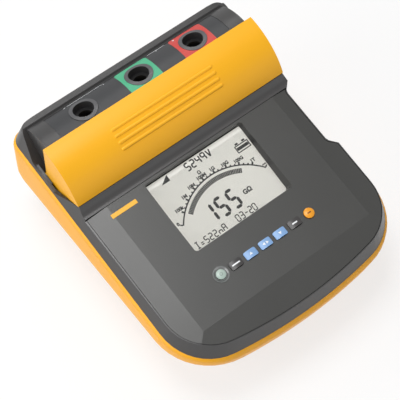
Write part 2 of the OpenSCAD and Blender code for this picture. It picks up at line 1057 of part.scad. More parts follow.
// Curved plate on the barrel around the sockets.
module plate_solid(grow, lift) {
    a0 = -shutter_back + 4;
    a1 = slot_back - 6;
    r = barrel_r;
    across(-plate_half - grow, plate_half + grow)
        intersection() {
            difference() {
                translate([axis_y, axis_z])
                    circle(r + lift, $fn = round_n);
                translate([axis_y, axis_z])
                    circle(r - plate_t, $fn = round_n);
            }
            polygon([[axis_y, axis_z], on_circle(100, -a0 - grow / 2), on_circle(110, a1 / 2),
                     on_circle(100, a1 + grow / 2)]);
        }
}

module patch_solid(x, grow, depth, lift) {
    w = 34;
    l = 23.6;
    intersection() {
        on_barrel(x, socket_lean + 2.6)
            translate([0, 0, barrel_r - 12])
                linear_extrude(24)
                    round_rect(w + 2 * grow, l + 2 * grow, 2);
        across(-big / 4, big / 4)
            difference() {
                translate([axis_y, axis_z])
                    circle(barrel_r + lift, $fn = round_n);
                translate([axis_y, axis_z])
                    circle(barrel_r - depth, $fn = round_n);
            }
    }
}

module terminal_panel() {
    color("darkslategray")
        difference() {
            plate_solid(0, -0.3);
            socket_places()
                cylinder(d = ring_d + 0.4, h = big / 4);
            for (x = [0, socket_pitch])
                patch_solid(x, 0.1, 0.8, 5);
        }
}

module colour_patch(x) {
    difference() {
        patch_solid(x, 0, 0.8, -0.1);
        on_barrel(x, socket_lean)
            cylinder(d = ring_d + 0.4, h = big / 4);
    }
}

module guard_patch() {
    color("mediumseagreen")
        colour_patch(0);
}

module plus_patch() {
    color("tomato")
        colour_patch(socket_pitch);
}

// Shrouded socket with a ring that follows the barrel, a wide mouth and a deep shroud bore.
module test_socket(x) {
    intersection() {
        on_barrel(x, socket_lean)
            difference() {
                union() {
                    translate([0, 0, barrel_r - plate_t - 1])
                        cylinder(d = ring_d, h = plate_t + 4);
                    translate([0, 0, barrel_r - shroud_deep - 2])
                        cylinder(d = body_d, h = shroud_deep);
                }
                translate([0, 0, barrel_r - shroud_deep])
                    cylinder(d = shroud_d, h = big / 4);
                translate([0, 0, barrel_r - mouth_deep])
                    cylinder(d = mouth_d, h = big / 4);
                cylinder(d = contact_d, h = barrel_r);
            }
        across(-big / 4, big / 4)
            translate([axis_y, axis_z])
                circle(barrel_r + 0.3, $fn = round_n);
    }
}

module socket_minus() {
    color("gray")
        test_socket(socket_x[0]);
}

module socket_guard() {
    color("gray")
        test_socket(socket_x[1]);
}

module socket_plus() {
    color("gray")
        test_socket(socket_x[2]);
}

tail = 6;

module socket_contacts() {
    color("goldenrod")
        socket_places()
            difference() {
                translate([0, 0, barrel_r - shroud_deep - tail])
                    cylinder(d = contact_d, h = shroud_deep + tail - contact_deep);
                translate([0, 0, barrel_r - shroud_deep])
                    cylinder(d = contact_bore, h = big / 4);
            }
}

module socket_nuts() {
    color("black")
        socket_places()
            translate([0, 0, barrel_r - 12])
                difference() {
                    cylinder(d = body_d + 7, h = 4);
                    translate([0, 0, -1])
                        cylinder(d = body_d, h = 6);
                }
}

hv_y = axis_y - hv_l / 2 + 10;
hv_top = floor_z + hv_h;
lead_y = axis_y + (barrel_r - shroud_deep - tail) * sin(socket_lean);
lead_z = axis_z + (barrel_r - shroud_deep - tail) * cos(socket_lean);

module socket_leads() {
    color("black")
        for (x = socket_x)
            translate([x, lead_y, hv_top])
                cylinder(d = 3.4, h = lead_z - hv_top - 1);
}

module high_voltage_module() {
    color("black") {
        translate([-hv_w / 2, hv_y - hv_l / 2, floor_z])
            cube([hv_w, hv_l, hv_h]);
    }
}

supply_l = 70;
supply_y = 20;

module supply_posts() {
    for (y = [supply_y + 6, supply_y + supply_l - 6])
        translate([supply_x + supply_w / 2, y, floor_z - 1])
            cylinder(d = 7, h = 6);
}

module power_supply() {
    color("darkgreen") {
        translate([supply_x, supply_y, floor_z + 5])
            cube([supply_w, supply_l, board_t]);
        translate([supply_x + 3, supply_y + 26, floor_z + 5 + board_t])
            cube([22, 24, 20]);
        translate([supply_x + supply_w / 2, supply_y + 14, floor_z + 5 + board_t])
            cylinder(d = 14, h = 24);
    }
}

// Charging inlet and data port window, on the part of the barrel under the shutter.
inlet_w = 27.5;
inlet_l = 19.5;
inlet_deep = 22;
flange_w = 4;
inlet_face = sqrt(pow(barrel_r - 0.2, 2) - pow(inlet_l / 2 + flange_w / 2, 2));

module port_pads() {
    on_barrel(inlet_x, port_lean)
        translate([-(inlet_w + flange_w + 6) / 2, -(inlet_l + flange_w + 6) / 2, barrel_r - 10])
            cube([inlet_w + flange_w + 6, inlet_l + flange_w + 6, 6]);
    on_barrel(port_x, port_lean)
        translate([-17, -10, barrel_r - 8])
            cube([34, 20, 5.6]);
}

module port_cuts() {
    on_barrel(inlet_x, port_lean) {
        translate([-inlet_w / 2 - 0.1, -inlet_l / 2 - 0.1, barrel_r - 30])
            cube([inlet_w + 0.2, inlet_l + 0.2, 60]);
        translate([-(inlet_w + flange_w) / 2 - 0.1, -(inlet_l + flange_w) / 2 - 0.1, inlet_face - 2])
            cube([inlet_w + flange_w + 0.2, inlet_l + flange_w + 0.2, 10]);
    }
    on_barrel(port_x, port_lean)
        translate([-12.1, -6.1, barrel_r - 2.6])
            cube([24.2, 12.2, 10]);
}

module mains_inlet() {
    color("black")
        on_barrel(inlet_x, port_lean) {
            difference() {
                union() {
                    translate([-inlet_w / 2, -inlet_l / 2, inlet_face - inlet_deep])
                        cube([inlet_w, inlet_l, inlet_deep]);
                    translate([-(inlet_w + flange_w) / 2, -(inlet_l + flange_w) / 2, inlet_face - 2])
                        cube([inlet_w + flange_w, inlet_l + flange_w, 2]);
                }
                translate([-12, -7.8, inlet_face - 17])
                    cube([24, 15.6, 30]);
            }
            for (p = [[-7, 2], [7, 2], [0, -2]])
                translate([p[0] - 1, p[1] - 2, inlet_face - 18])
                    cube([2, 4, 9]);
        }
}

module infrared_window() {
    color("darkred")
        on_barrel(port_x, port_lean)
            translate([-12, -6, barrel_r - 2.6])
                cube([24, 12, 2]);
}

module battery_pack() {
    color("dimgray") {
        translate([-battery_w / 2, -battery_y - battery_l / 2, floor_z])
            cube([battery_w, battery_l, battery_h]);
        for (s = [0, 1])
            translate([-battery_w / 2 + 6, -battery_y - battery_l / 2 + 8 + s * (battery_l - 22), floor_z + battery_h - 1])
                cube([6, 6, 6]);
    }
}

// Strap bent over the battery, screwed to two bosses.
module battery_clamp() {
    t = 1.2;
    w = 18;
    half = battery_l / 2 + slack;
    top = battery_h + slack;
    foot_y = battery_l / 2 + 11;
    color("silver")
        difference() {
            across(-w / 2, w / 2)
                translate([-battery_y, floor_z]) {
                    translate([-half - t, top])
                        square([2 * half + 2 * t, t]);
                    for (s = [-1, 1]) {
                        translate([s * (half + t / 2) - t / 2, 4])
                            square([t, top - 3]);
                        translate([s > 0 ? half : -foot_y - 5, 4])
                            square([foot_y + 5 - half, t]);
                    }
                }
            clamp_places()
                translate([0, 0, floor_z])
                    cylinder(d = 3.4, h = 10);
        }
}

module clamp_screws() {
    color("silver")
        clamp_places()
            translate([0, 0, floor_z - 1]) {
                cylinder(d = 3, h = 6.3);
                translate([0, 0, 6.2])
                    cylinder(d = 6, h = 2);
            }
}

module case_screws() {
    color("silver")
        both_sides()
            for (p = screw_xy)
                translate([p[0], p[1], seam_at(p[1]) - 8]) {
                    translate([0, 0, -3])
                        cylinder(d = screw_d + 3.6, h = 3);
                    cylinder(d = screw_d, h = 19);
                }
}

// Shutter: a cylindrical shell with thumb ribs and a cheek at each end that reaches its pivot.
module shutter_sector(r) {
    intersection() {
        translate([axis_y, axis_z])
            circle(r, $fn = round_n);
        polygon([[axis_y, axis_z], on_circle(120, -shutter_front), on_circle(120, -shutter_front / 2),
                 on_circle(120, -shutter_back)]);
    }
}

module safety_shutter() {
    color("gold")
        difference() {
            union() {
                across(-shutter_half, shutter_half)
                    difference() {
                        shutter_sector(shutter_out);
                        translate([axis_y, axis_z])
                            circle(shutter_in, $fn = round_n);
                    }
                both_sides()
                    across(cheek_in, shutter_half) {
                        shutter_sector(shutter_in + 1);
                        hub_wedge(shutter_in + 1, hub_r, shutter_front);
                        translate([axis_y, axis_z])
                            circle(hub_r);
                    }
                for (i = [0:rib_count - 1])
                    on_barrel(0, -rib_first - i * rib_step)
                        translate([0, 0, shutter_out + rib_h - 2])
                            thumb_rib();
            }
            both_sides()
                across(cheek_in - 2, shutter_half + 2)
                    translate([axis_y, axis_z])
                        circle(pin_d / 2 + pin_fit);
        }
}

module thumb_rib() {
    rotate([0, 90, 0])
        cylinder(r = 2, h = 2 * rib_half, center = true);
    for (s = [-1, 1])
        translate([s * rib_half, 0, 0])
            sphere(r = 2);
}

module shutter_pins() {
    color("silver")
        both_sides()
            across(barrel_half - 10, shutter_half)
                translate([axis_y, axis_z])
                    circle(pin_d / 2);
}

lower_case();
rubber_feet();
upper_case();
front_panel();
safety_shutter();
shutter_pins();
terminal_panel();
guard_patch();
plus_patch();
socket_minus();
socket_guard();
socket_plus();
socket_contacts();
socket_nuts();
socket_leads();
display_window();
display_module();
backlight_frame();
power_ring();
power_button();
function_key();
up_key();
left_right_key();
down_key();
enter_key();
test_button();
keypad_mat();
key_board();
main_board();
board_parts();
buzzer();
high_voltage_module();
power_supply();
mains_inlet();
infrared_window();
battery_pack();
battery_clamp();
case_screws();
board_screws();
clamp_screws();
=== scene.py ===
import math

import bpy
from mathutils import Matrix, Vector


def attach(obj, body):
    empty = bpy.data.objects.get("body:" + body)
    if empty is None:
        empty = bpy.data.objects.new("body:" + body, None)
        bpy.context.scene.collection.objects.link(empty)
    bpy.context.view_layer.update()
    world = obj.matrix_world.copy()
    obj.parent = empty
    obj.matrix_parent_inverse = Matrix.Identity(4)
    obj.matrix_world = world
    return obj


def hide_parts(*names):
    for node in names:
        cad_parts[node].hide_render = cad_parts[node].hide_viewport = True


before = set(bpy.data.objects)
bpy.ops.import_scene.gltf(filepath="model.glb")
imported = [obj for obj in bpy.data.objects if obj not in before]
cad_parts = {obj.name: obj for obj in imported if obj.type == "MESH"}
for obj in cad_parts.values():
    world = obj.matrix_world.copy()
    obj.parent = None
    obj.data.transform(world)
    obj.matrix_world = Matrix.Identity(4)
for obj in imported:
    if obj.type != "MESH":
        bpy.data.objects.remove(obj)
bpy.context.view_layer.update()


# The set: a seamless white table top under four soft boxes, one above, a small one behind, and
# large ones on the left and in front. The camera is where someone who leans over the table
# would hold it.
class Shade:
    """A socket of a finish. Sums written with + - * on it add Math nodes."""

    def __init__(self, tree, socket=None):
        self.tree = tree
        self.socket = socket

    def node(self, kind, settings=None, sockets=None, out=0):
        """Adds a node, sets it and its sockets, and gives one of its outputs."""
        made = self.tree.nodes.new("ShaderNode" + kind)
        for key, value in (settings or {}).items():
            setattr(made, key, value)
        for key, value in (sockets or {}).items():
            if isinstance(value, Shade):
                self.tree.links.new(value.socket, made.inputs[key])
            else:
                made.inputs[key].default_value = value
        return Shade(self.tree, made.outputs[out] if len(made.outputs) else None)

    def maths(self, operation, first, second=0.0):
        return self.node("Math", {"operation": operation}, {0: first, 1: second})

    def __add__(self, other):
        return self.maths("ADD", self, other)

    def __radd__(self, other):
        return self.maths("ADD", other, self)

    def __sub__(self, other):
        return self.maths("SUBTRACT", self, other)

    def __rsub__(self, other):
        return self.maths("SUBTRACT", other, self)

    def __mul__(self, other):
        return self.maths("MULTIPLY", self, other)

    def __rmul__(self, other):
        return self.maths("MULTIPLY", other, self)


def new_finish(name):
    """An empty material and the shade that its nodes are made from."""
    material = bpy.data.materials.new(name)
    material.use_nodes = True
    material.node_tree.nodes.clear()
    return material, Shade(material.node_tree)


def seen_directly(shade):
    """1 for rays from the camera, a mirror or glass, and 0 for light falling on things."""
    from_camera = shade.node("LightPath", out="Is Camera Ray")
    mirrored = shade.node("LightPath", out="Is Glossy Ray")
    through = shade.node("LightPath", out="Is Transmission Ray")
    return shade.maths("MAXIMUM", shade.maths("MAXIMUM", from_camera, mirrored), through)


TABLE_SIZE = 24
TABLE_GREY = (0.94, 0.94, 0.945, 1)
TABLE_LIFT = 0.73
WHITE = (1, 1, 1, 1)
bpy.ops.object.select_all(action="DESELECT")
bpy.ops.mesh.primitive_plane_add(size=TABLE_SIZE, location=(0, 0, 0))
floor = bpy.context.object
floor.name = "table_top"
paper, shade = new_finish("table_white")
matt = shade.node("BsdfDiffuse", sockets={"Color": TABLE_GREY})
glow = shade.node("Emission", sockets={"Color": WHITE, "Strength": 1.0})
mixed = shade.node("MixShader", sockets={0: seen_directly(shade) * TABLE_LIFT, 1: matt, 2: glow})
shade.node("OutputMaterial", sockets={"Surface": mixed})
floor.data.materials.append(paper)

SKY = 0.3
world = bpy.data.worlds.new("studio")
bpy.context.scene.world = world
world.use_nodes = True
world.node_tree.nodes.clear()
shade = Shade(world.node_tree)
strength = SKY + seen_directly(shade) * (1 - SKY)
sky = shade.node("Background", sockets={"Color": WHITE, "Strength": strength})
shade.node("OutputWorld", sockets={"Surface": sky})

# Each soft box: its place and the side of its square face in metres, and its power in watts.
SOFT_BOXES = {
    "soft_box_above": ((-0.14, 0.34, 1.68), 0.72, 15.6),
    "soft_box_rear": ((0.4, 0.98, 1.1), 0.36, 2),
    "soft_box_left": ((-1.4, 0.15, 0.75), 1.35, 12.6),
    "soft_box_front": ((0.5, -1.55, 0.7), 1.1, 2.6),
}
AIM = (0, 0, 0.08)
for name, (place, side, power) in SOFT_BOXES.items():
    bpy.ops.object.light_add(type="AREA", location=place)
    soft_box = bpy.context.object
    soft_box.name = name
    soft_box.data.size = side
    soft_box.data.energy = power
    aim = Vector(AIM) - Vector(place)
    soft_box.rotation_euler = aim.to_track_quat("-Z", "Y").to_euler()

CAMERA_PLACE = (-0.41255, -0.52034, 1.29079)
CAMERA_PITCH, CAMERA_TURN = 28.39, -37.5
FILM_WIDTH, LENS = 36, 139.5
bpy.ops.object.camera_add(
    location=CAMERA_PLACE,
    rotation=(math.radians(CAMERA_PITCH), 0, math.radians(CAMERA_TURN)),
)
camera = bpy.context.object
camera.data.sensor_width = FILM_WIDTH
camera.data.lens = LENS
bpy.context.scene.camera = camera
bpy.context.scene.view_settings.view_transform = "Standard"


# The tub: the deep lower half of the case, injection moulded in yellow ABS with a fine
# spark texture, drawn in below its belt so that a hand can lift it from the table.
def linear(red, green, blue):
    """A colour read on screen, 0 to 255, as the linear value that a shader takes."""
    steps = [c / 255 for c in (red, green, blue)]
    return tuple(c / 12.92 if c < 0.04045 else ((c + 0.055) / 1.055) ** 2.4 for c in steps) + (1,)


def toned(colour, factor):
    """The colour made darker or lighter by this factor."""
    return tuple(min(1.0, c * factor) for c in colour[:3]) + (1,)


def noise(shade, place, scale, detail):
    """Soft noise about 0.5, finer with a larger scale."""
    return shade.node("TexNoise", sockets={"Vector": place, "Scale": scale, "Detail": detail})


def blend(shade, share, low, high):
    """The colour that lies this share of the way from low to high."""
    return shade.node("Mix", {"data_type": "RGBA"}, {0: share, 6: low, 7: high}, out=2)


def moulded(name, colour, rough=0.5, grain=0.3, spread=0.08, sheen=0.4, coat=0.0):
    """Moulded plastic: spark-eroded grain, faint flow marks and a slightly uneven gloss."""
    material, shade = new_finish(name)
    place = shade.node("TexCoord", out="Object")
    flow = noise(shade, place, 14.0, 4.0)
    pores = noise(shade, place, 1900.0, 2.0)
    pits = shade.node("TexVoronoi", sockets={"Vector": place, "Scale": 2600.0})
    tone = 0.5 + (flow - 0.5) * 1.2 + (pores - 0.5) * 0.5
    body = blend(shade, tone, toned(colour, 1 - spread), toned(colour, 1 + spread))
    height = pores * 0.6 + pits * 0.4
    skin = shade.node("Bump", sockets={"Strength": grain, "Distance": 0.00012, "Height": height})
    gloss = rough + (flow - 0.5) * 0.12 + (pores - 0.5) * 0.08
    plastic = shade.node("BsdfPrincipled", sockets={
        "Base Color": body, "Roughness": gloss, "Normal": skin,
        "Specular IOR Level": sheen, "Coat Weight": coat, "Coat Roughness": 0.12})
    shade.node("OutputMaterial", sockets={"Surface": plastic})
    return material


def dress(piece, material):
    """Gives every slot of a piece this finish."""
    if not piece.material_slots:
        piece.data.materials.append(material)
    for place in piece.material_slots:
        place.material = material


def only(piece):
    """Selects this piece alone and makes it the active one."""
    bpy.ops.object.select_all(action="DESELECT")
    piece.select_set(True)
    bpy.context.view_layer.objects.active = piece


WELD, FLAT = 2e-6, 0.4


def softened(node, name, body, material, radius, crease=30, smooth=35, steps=2):
    """A copy of a CAD node with its corners broken as moulding leaves them."""
    only(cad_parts[node])
    bpy.ops.object.duplicate()
    piece = bpy.context.object
    piece.name = name
    piece.data.name = name
    for key in list(piece.keys()):
        del piece[key]
    piece.parent = None
    bpy.ops.mesh.customdata_custom_splitnormals_clear()
    bpy.ops.object.mode_set(mode="EDIT")
    bpy.ops.mesh.select_all(action="SELECT")
    bpy.ops.mesh.remove_doubles(threshold=WELD)
    bpy.ops.mesh.dissolve_limited(angle_limit=math.radians(FLAT))
    bpy.ops.object.mode_set(mode="OBJECT")
    edge = piece.modifiers.new("broken_edges", "BEVEL")
    edge.width = radius
    edge.segments = steps
    edge.limit_method = "ANGLE"
    edge.angle_limit = math.radians(crease)
    edge.use_clamp_overlap = True
    edge.harden_normals = False
    bpy.ops.object.modifier_apply(modifier=edge.name)
    bpy.ops.object.shade_smooth_by_angle(angle=math.radians(smooth))
    flats = piece.modifiers.new("flat_faces", "WEIGHTED_NORMAL")
    flats.keep_sharp = True
    flats.weight = 100
    bpy.ops.object.modifier_apply(modifier=flats.name)
    dress(piece, material)
    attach(piece, body)
    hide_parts(node)
    return piece


CASE_CORNER = 0.0005
yellow = moulded("yellow_case_plastic", linear(240, 169, 24), rough=0.46, grain=0.25, spread=0.05)
softened("lower_case", "tub", "housing", yellow, CASE_CORNER)


# The upper case: dark grey ABS, screwed to the tub from below; it carries the panel, the
# terminal barrel and the rim behind the sockets.
case_grey = moulded("grey_case_plastic", linear(52, 51, 51), rough=0.32, grain=0.3, sheen=0.5)
softened("upper_case", "upper_shell", "housing", case_grey, CASE_CORNER)


# The front panel: a separate grey plate, dropped into the upper case. The walls of its display
# recess turn nearly black from just under its rim: painted shade, for the shade in the recess.
PANEL_TILT = math.radians(7.7)
PANEL_HEIGHT = 0.1044
RECESS_HALF, RECESS_FRONT = 0.0575, -0.0515
RECESS_SHADE_START, RECESS_SHADE_FULL = 0.0007, 0.0011
PANEL_SMOOTH = 2.5


def panel_level(y):
    """The height of the panel's face at this depth, in metres."""
    return PANEL_HEIGHT + y * math.tan(PANEL_TILT)


def ramp(shade, value, start, end):
    """0 up to the start, 1 from the end on, and an even slope between them."""
    return shade.node("MapRange", sockets={0: value, 1: start, 2: end, 3: 0.0, 4: 1.0})


def painted(shade, mask, paint):
    """Lays this paint over the colour of a moulded finish where the mask is 1."""
    plastic = next(n for n in shade.tree.nodes if n.type == "BSDF_PRINCIPLED")
    body = Shade(shade.tree, plastic.inputs["Base Color"].links[0].from_socket)
    coated = blend(shade, mask, body, paint)
    shade.tree.links.new(coated.socket, plastic.inputs["Base Color"])


def recess_shaded_panel(name, colour, black):
    """The panel's plastic, with painted shade on the display recess's walls from just under its rim.
    """
    material = moulded(name, colour, rough=0.36, grain=0.35, sheen=0.5)
    shade = Shade(material.node_tree)
    place = shade.node("TexCoord", out="Object")
    x, y, z = (shade.node("SeparateXYZ", sockets={0: place}, out=i) for i in range(3))
    sunk = panel_level(y) - z
    # Painted shade: the recess walls darken from just under the rim down.
    recess_shade = ramp(shade, sunk, RECESS_SHADE_START, RECESS_SHADE_FULL)
    beside = shade.maths("LESS_THAN", shade.maths("ABSOLUTE", x), RECESS_HALF)
    behind = shade.maths("GREATER_THAN", y, RECESS_FRONT)
    painted(shade, recess_shade * beside * behind, black)
    return material


# The second colour is the painted shade on the recess walls.
panel_grey = recess_shaded_panel("grey_panel_plastic", linear(50, 50, 48), linear(26, 26, 27))
softened("front_panel", "panel_plate", "housing", panel_grey, CASE_CORNER,
         smooth=PANEL_SMOOTH)


# The safety shutter: a shell moulded in yellow ABS that turns on two pins about the barrel and
# covers the inlet or the sockets; four thumb ribs are moulded on it.
SHUTTER_CORNER, SHUTTER_CREASE = 0.0006, 25
shutter_yellow = moulded("yellow_shutter_plastic", linear(244, 176, 16), rough=0.4, grain=0.2,
                         spread=0.04)
softened("safety_shutter", "shutter_shell", "shutter", shutter_yellow,
         SHUTTER_CORNER, crease=SHUTTER_CREASE)


# The terminal plate: a thin grey label plate, curved to lie on the barrel, with a green and a
# red field printed around two of its three sockets. Sizes are in millimetres along the plate.
SOCKET_LEAN = math.radians(17.3)
BARREL_AXIS = (0.0915, 0.0925)
PLATE_RADIUS = 0.0499
SOCKET_PITCH = 59.9
FIELD_FRONT, FIELD_BACK, FIELD_HALF, FIELD_CORNER = 15.5, 17.2, 17.2, 2.5
FIELD_HOLE = 13.4
FIELD_COLUMNS, FIELD_RINGS, FIELD_WELD = 96, 8, 0.01
FIELD_LIFT, FIELD_THICK, FIELD_SMOOTH = 0.00022, 0.0003, 30
TINY = 1e-6

plate_grey = moulded("terminal_plate_film", linear(48, 49, 51), rough=0.4, grain=0.12)
dress(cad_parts["terminal_panel"], plate_grey)


def on_plate(piece, lift):
    """Bends a flat shape in millimetres round the barrel; y runs back from the socket axes."""
    for vertex in piece.data.vertices:
        radius = PLATE_RADIUS + lift + vertex.co.z / 1000
        turn = SOCKET_LEAN + vertex.co.y / 1000 / PLATE_RADIUS
        vertex.co = (vertex.co.x / 1000, BARREL_AXIS[0] + radius * math.sin(turn),
                     BARREL_AXIS[1] + radius * math.cos(turn))


def field_edge(side, back):
    """Where a line from the socket in this direction meets the rounded edge of its field."""
    depth = FIELD_BACK if back > 0 else FIELD_FRONT
    reach = min(FIELD_HALF / max(abs(side), TINY), depth / max(abs(back), TINY))
    edge = Vector((side * reach, back * reach))
    centre = Vector((FIELD_HALF, depth)) - Vector((FIELD_CORNER, FIELD_CORNER))
    over = Vector((abs(edge.x), abs(edge.y))) - centre
    if over.x > 0 and over.y > 0 and over.length > FIELD_CORNER:
        corner = centre + over.normalized() * FIELD_CORNER
        edge = Vector((math.copysign(corner.x, edge.x), math.copysign(corner.y, edge.y)))
    return edge


def field_film(node, name, x, finish):
    """A coloured field around a socket: a grid wrapped round its hole, bent and thickened."""
    bpy.ops.object.select_all(action="DESELECT")
    bpy.ops.mesh.primitive_grid_add(x_subdivisions=FIELD_COLUMNS, y_subdivisions=FIELD_RINGS, size=1)
    film = bpy.context.object
    for vertex in film.data.vertices:
        turn = (vertex.co.x + 0.5) * 2 * math.pi
        share = vertex.co.y + 0.5
        side, back = math.cos(turn), -math.sin(turn)
        edge = field_edge(side, back)
        vertex.co = (x + side * FIELD_HOLE * (1 - share) + edge.x * share,
                     back * FIELD_HOLE * (1 - share) + edge.y * share, 0)
    only(film)
    bpy.ops.object.mode_set(mode="EDIT")
    bpy.ops.mesh.select_all(action="SELECT")
    bpy.ops.mesh.remove_doubles(threshold=FIELD_WELD)
    bpy.ops.object.mode_set(mode="OBJECT")
    on_plate(film, FIELD_LIFT)
    bpy.ops.object.mode_set(mode="EDIT")
    bpy.ops.mesh.select_all(action="SELECT")
    bpy.ops.mesh.normals_make_consistent(inside=False)
    bpy.ops.object.mode_set(mode="OBJECT")
    if film.data.polygons[0].normal.z < 0:
        film.data.flip_normals()
    thick = film.modifiers.new("film", "SOLIDIFY")
    thick.thickness = FIELD_THICK
    thick.offset = -1
    bpy.ops.object.modifier_apply(modifier=thick.name)
    bpy.ops.object.shade_smooth_by_angle(angle=math.radians(FIELD_SMOOTH))
    film.name = name
    film.data.name = name
    dress(film, finish)
    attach(film, "housing")
    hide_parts(node)


green = moulded("green_field_film", linear(72, 170, 128), rough=0.4, grain=0.1, spread=0.03)
field_film("guard_patch", "guard_field", 0, green)
red = moulded("red_field_film", linear(196, 66, 60), rough=0.4, grain=0.1, spread=0.03)
field_film("plus_patch", "plus_field", SOCKET_PITCH, red)


# The sockets: shrouded 4 mm sockets in dark thermoset, with a stepped mouth for the lead's
# collar. Ring nuts clamp them to the barrel, and each holds a turned brass contact tube.
SOCKET_AXIS = (0, math.sin(SOCKET_LEAN), math.cos(SOCKET_LEAN))
MOUTH, MOUTH_CUT, NEAR_MOUTH = 0.0096, 0.0089, 0.0007
RING_START, RING_FULL = MOUTH - 0.0002, MOUTH + 0.0004
RING_DARK, RING_LIGHT = linear(70, 70, 72), linear(84, 84, 86)
# The bore's colour: a black insert, darkened further as painted shade.
BORE_BLACK_AND_SHADE = linear(14, 13, 14)
SOCKET_CORNER = 0.0005


def thermoset(name, x):
    """Glossy dark thermoset; the bore is painted near black, for the socket's black insert and for
    the shade inside it.
    """
    material, shade = new_finish(name)
    place = shade.node("TexCoord", out="Object")
    reach = shade.node("VectorMath", {"operation": "SUBTRACT"}, {0: place, 1: (x, *BARREL_AXIS)})
    along = shade.node("VectorMath", {"operation": "DOT_PRODUCT"}, {0: reach, 1: SOCKET_AXIS}, out=1)
    far = shade.node("VectorMath", {"operation": "LENGTH"}, {0: reach}, out=1)
    out = shade.maths("SQRT", far * far - along * along)
    ring = ramp(shade, out, RING_START, RING_FULL)
    flow = noise(shade, place, 90.0, 4.0)
    pores = noise(shade, place, 2100.0, 2.0)
    ring_tone = blend(shade, flow, RING_DARK, RING_LIGHT)
    # Painted shade in part: the bore inside the mouth turns near black.
    body = blend(shade, ring, BORE_BLACK_AND_SHADE, ring_tone)
    gloss = 0.34 + (flow - 0.5) * 0.1 + (1 - ring) * 0.2
    skin = shade.node("Bump", sockets={"Strength": 0.1, "Distance": 0.0001, "Height": pores})
    resin = shade.node("BsdfPrincipled", sockets={
        "Base Color": body, "Roughness": gloss, "Normal": skin, "Specular IOR Level": 0.45})
    shade.node("OutputMaterial", sockets={"Surface": resin})
    return material


def metal(name, colour, rough, stretch=(1, 1, 1)):
    """Turned or rolled metal: fine lines along the tool's path and a few dull spots."""
    material, shade = new_finish(name)
    place = shade.node("TexCoord", out="Object")
    turned = shade.node("Mapping", sockets={"Vector": place, "Scale": stretch})
    lines = noise(shade, turned, 900.0, 3.0)
    spots = noise(shade, place, 120.0, 2.0)
    body = blend(shade, spots, toned(colour, 0.82), colour)
    skin = shade.node("Bump", sockets={"Strength": 0.15, "Distance": 0.00005, "Height": lines})
    plate = shade.node("BsdfPrincipled", sockets={
        "Base Color": body, "Roughness": rough + (lines - 0.5) * 0.15, "Normal": skin,
        "Metallic": 1.0})
    shade.node("OutputMaterial", sockets={"Surface": plate})
    return material


for side, x in (("minus", -SOCKET_PITCH / 1000), ("guard", 0), ("plus", SOCKET_PITCH / 1000)):
    shell = softened("socket_" + side, "socket_" + side + "_shell", "housing",
                     thermoset("socket_thermoset_" + side, x), SOCKET_CORNER)
    centre, axis = Vector((x, *BARREL_AXIS)), Vector(SOCKET_AXIS)
    for vertex in shell.data.vertices:
        reach = vertex.co - centre
        out = reach - axis * reach.dot(axis)
        if abs(out.length - MOUTH_CUT) < NEAR_MOUTH:
            vertex.co += out.normalized() * (MOUTH - MOUTH_CUT)

brass = metal("contact_brass_turned", (0.78, 0.58, 0.26, 1), 0.28, stretch=(1, 1, 8))
dress(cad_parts["socket_contacts"], brass)
black = moulded("black_moulding", linear(36, 36, 37), rough=0.48, grain=0.3)
dress(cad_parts["socket_nuts"], black)


# The display: a liquid crystal cell that sits in a white moulded frame; its face is made to
# glow, painted light that brightens it. A clear acrylic window closes the bottom of the panel's
# recess over it.
lcd_grey, shade = new_finish("liquid_crystal_face")
place = shade.node("TexCoord", out="Object")
cloud = noise(shade, place, 30.0, 3.0)
weave = noise(shade, place, 2400.0, 1.0)
glass = blend(shade, cloud, linear(209, 207, 202), linear(215, 213, 208))
# Painted light: the face glows with this colour so that it reads as brightly lit.
painted_glow = blend(shade, cloud, linear(206, 204, 200), linear(214, 212, 208))
skin = shade.node("Bump", sockets={"Strength": 0.05, "Distance": 0.00005, "Height": weave})
face = shade.node("BsdfPrincipled", sockets={
    "Base Color": glass, "Roughness": 0.5 + (weave - 0.5) * 0.1, "Normal": skin,
    "Specular IOR Level": 0.2, "Emission Color": painted_glow, "Emission Strength": 0.45})
shade.node("OutputMaterial", sockets={"Surface": face})
dress(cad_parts["display_module"], lcd_grey)

clear, shade = new_finish("clear_acrylic")
rays = shade.node("BsdfTransparent", sockets={"Color": (0.97, 0.975, 0.97, 1)})
mirror = shade.node("BsdfGlossy", sockets={"Roughness": 0.04})
angle = shade.node("Fresnel", sockets={"IOR": 1.4})
inside = shade.node("NewGeometry", out="Backfacing")
pane = shade.node("MixShader", sockets={0: angle * (1 - inside), 1: rays, 2: mirror})
shade.node("OutputMaterial", sockets={"Surface": pane})
dress(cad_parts["display_window"], clear)

white = moulded("white_moulding", linear(225, 225, 220), rough=0.5)
dress(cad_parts["backlight_frame"], white)


# The display's characters: dark liquid crystal segments that show generic readings, and a bar
# graph with its scale above it. Sizes are in millimetres and angles in degrees from upright,
# on the display's own plane.
LCD_PLACE = (0, 0.029695, 0.10088)
LCD_TILT = math.radians(11.2)
LCD_FRAME = Matrix.Translation(LCD_PLACE) @ Matrix.Rotation(LCD_TILT, 4, "X") @ Matrix.Scale(0.001, 4)
BLUNT = 0.1

# The strokes of a character, from x, y to x, y, in its widths and half its heights.
STROKES = {
    "a": ((0, 2), (1, 2)), "b": ((1, 2), (1, 1)), "c": ((1, 1), (1, 0)), "d": ((1, 0), (0, 0)),
    "e": ((0, 0), (0, 1)), "f": ((0, 1), (0, 2)), "g": ((0, 1), (1, 1)), "m": ((0.5, 0), (0.5, 2)),
    "h": ((0, 0.45), (1, 0.45)), "u": ((0, 2), (0.5, 0)), "v": ((0.5, 0), (1, 2)),
}
LETTERS = {
    "0": "abcdef", "1": "bc", "2": "abged", "3": "abgcd", "4": "fgbc", "5": "afgcd", "9": "abfgc",
    "A": "abcefg", "n": "ceg", "I": "adm", "-": "g", "=": "gh", "V": "uv",
}

